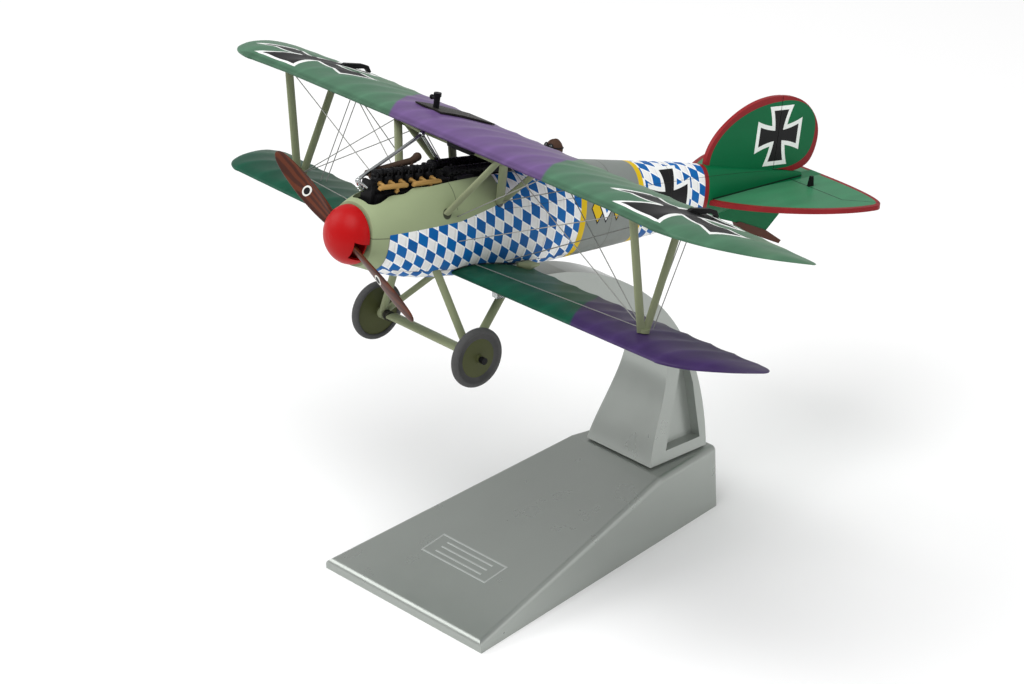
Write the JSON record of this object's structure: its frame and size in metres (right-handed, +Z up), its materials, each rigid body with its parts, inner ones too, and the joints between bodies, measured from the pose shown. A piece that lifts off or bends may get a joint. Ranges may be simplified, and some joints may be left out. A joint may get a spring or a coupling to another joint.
{
  "type": "scale model biplane on display stand",
  "caption": "Small scale model of an early fighter biplane with V wing struts, spinning propeller and wheels, resting in a clear cradle on a curved display stand.",
  "frame": {"origin": "centre of the stand's footprint on the surface it stands on", "axes": "+Z up, -Y towards the aircraft's nose, +X towards its port wing tips"},
  "size_m": [0.192, 0.1544, 0.1202],
  "materials": {
    "stand_silver": "satin silver with bright rounded edges",
    "screw_steel": "plain steel",
    "clear_cradle": "clear moulded plastic",
    "laminated_wood": "dark laminated wood, varnished",
    "spinner_red": "satin red",
    "fuselage_finish": "blue and white lozenges, grey-green nose, yellow rings and a grey band",
    "cowl_grey": "satin grey-green",
    "upper_wing_finish": "satin green and mauve bands",
    "lower_wing_finish": "satin green and mauve bands",
    "radiator_brass": "dark cooling core",
    "black_metal": "satin black",
    "gun_black": "gunmetal black",
    "strut_olive": "satin olive grey",
    "copper_tan": "dull copper",
    "exhaust_brown": "rusty brown",
    "pipe_chrome": "bright",
    "seat_brown": "brown",
    "coaming_leather": "padded leather",
    "flying_coat": "dark brown coat",
    "face_and_helmet": "brown helmet and a plain face",
    "tail_green": "satin green",
    "skid_wood": "brown",
    "cord_dark": "dark bound cord",
    "wheel_olive": "satin olive",
    "tyre_grey": "matt grey rubber",
    "rigging_wire": "thin bright wire"
  },
  "bodies": {
    "stand": {"stand_base": "stand_silver", "stand_arm": "stand_silver", "arm_screw": "screw_steel", "cradle": "clear_cradle"},
    "propeller": {"propeller": "laminated_wood", "spinner": "spinner_red", "spinner_backplate": "spinner_red", "propeller_shaft": "screw_steel", "shaft_collar": "screw_steel"},
    "wheel_port": {"wheel_disc_port": "wheel_olive", "wheel_tyre_port": "tyre_grey"},
    "wheel_starboard": {"wheel_disc_starboard": "wheel_olive", "wheel_tyre_starboard": "tyre_grey"},
    "aircraft": {"aileron_crank_port": "black_metal", "aileron_crank_starboard": "black_metal", "axle": "black_metal", "axle_fairing": "strut_olive", "belly_panel": "fuselage_finish", "cabane_cross_tube": "strut_olive", "cabane_strut_port": "strut_olive", "cabane_strut_starboard": "strut_olive", "camshaft_housing": "black_metal", "cockpit_coaming": "coaming_leather", "cockpit_floor": "seat_brown", "elevator_horns": "black_metal", "engine_crankcase": "black_metal", "engine_cylinders": "black_metal", "exhaust_manifold": "exhaust_brown", "fin": "tail_green", "fuselage_lower": "fuselage_finish", "fuselage_upper": "fuselage_finish", "gun_port": "gun_black", "gun_starboard": "gun_black", "gun_tray": "black_metal", "intake_manifold": "copper_tan", "interplane_strut_port": "strut_olive", "interplane_strut_starboard": "strut_olive", "lower_wing_port": "lower_wing_finish", "lower_wing_starboard": "lower_wing_finish", "nose_bulkhead": "cowl_grey", "pilot_body": "flying_coat", "pilot_head": "face_and_helmet", "pilot_seat": "seat_brown", "radiator_filler": "black_metal", "radiator_pipes": "pipe_chrome", "rigging_port": "rigging_wire", "rigging_starboard": "rigging_wire", "rudder": "tail_green", "shock_binding_port": "cord_dark", "shock_binding_starboard": "cord_dark", "tail_cone": "tail_green", "tail_skid": "skid_wood", "tailplane": "tail_green", "undercarriage_leg_port": "strut_olive", "undercarriage_leg_starboard": "strut_olive", "upper_wing": "upper_wing_finish", "ventral_fin": "tail_green", "wing_radiator": "radiator_brass"}
  },
  "joints": [
    {"name": "aircraft_lift", "type": "slide", "parent": "stand", "child": "aircraft", "axis": [0, -0.1779, 0.984], "range_m": [0, 0.06]},
    {"name": "propeller_spin", "type": "hinge", "parent": "aircraft", "child": "propeller", "pos_m": [0, -0.05498, 0.10196], "axis": [0, 0.979, -0.2036], "continuous": true},
    {"name": "wheel_port_spin", "type": "hinge", "parent": "aircraft", "child": "wheel_port", "pos_m": [0.0185, -0.03428, 0.06988], "axis": [1, 0, 0], "continuous": true},
    {"name": "wheel_starboard_spin", "type": "hinge", "parent": "aircraft", "child": "wheel_starboard", "pos_m": [-0.0185, -0.03428, 0.06988], "axis": [1, 0, 0], "continuous": true}
  ]
}
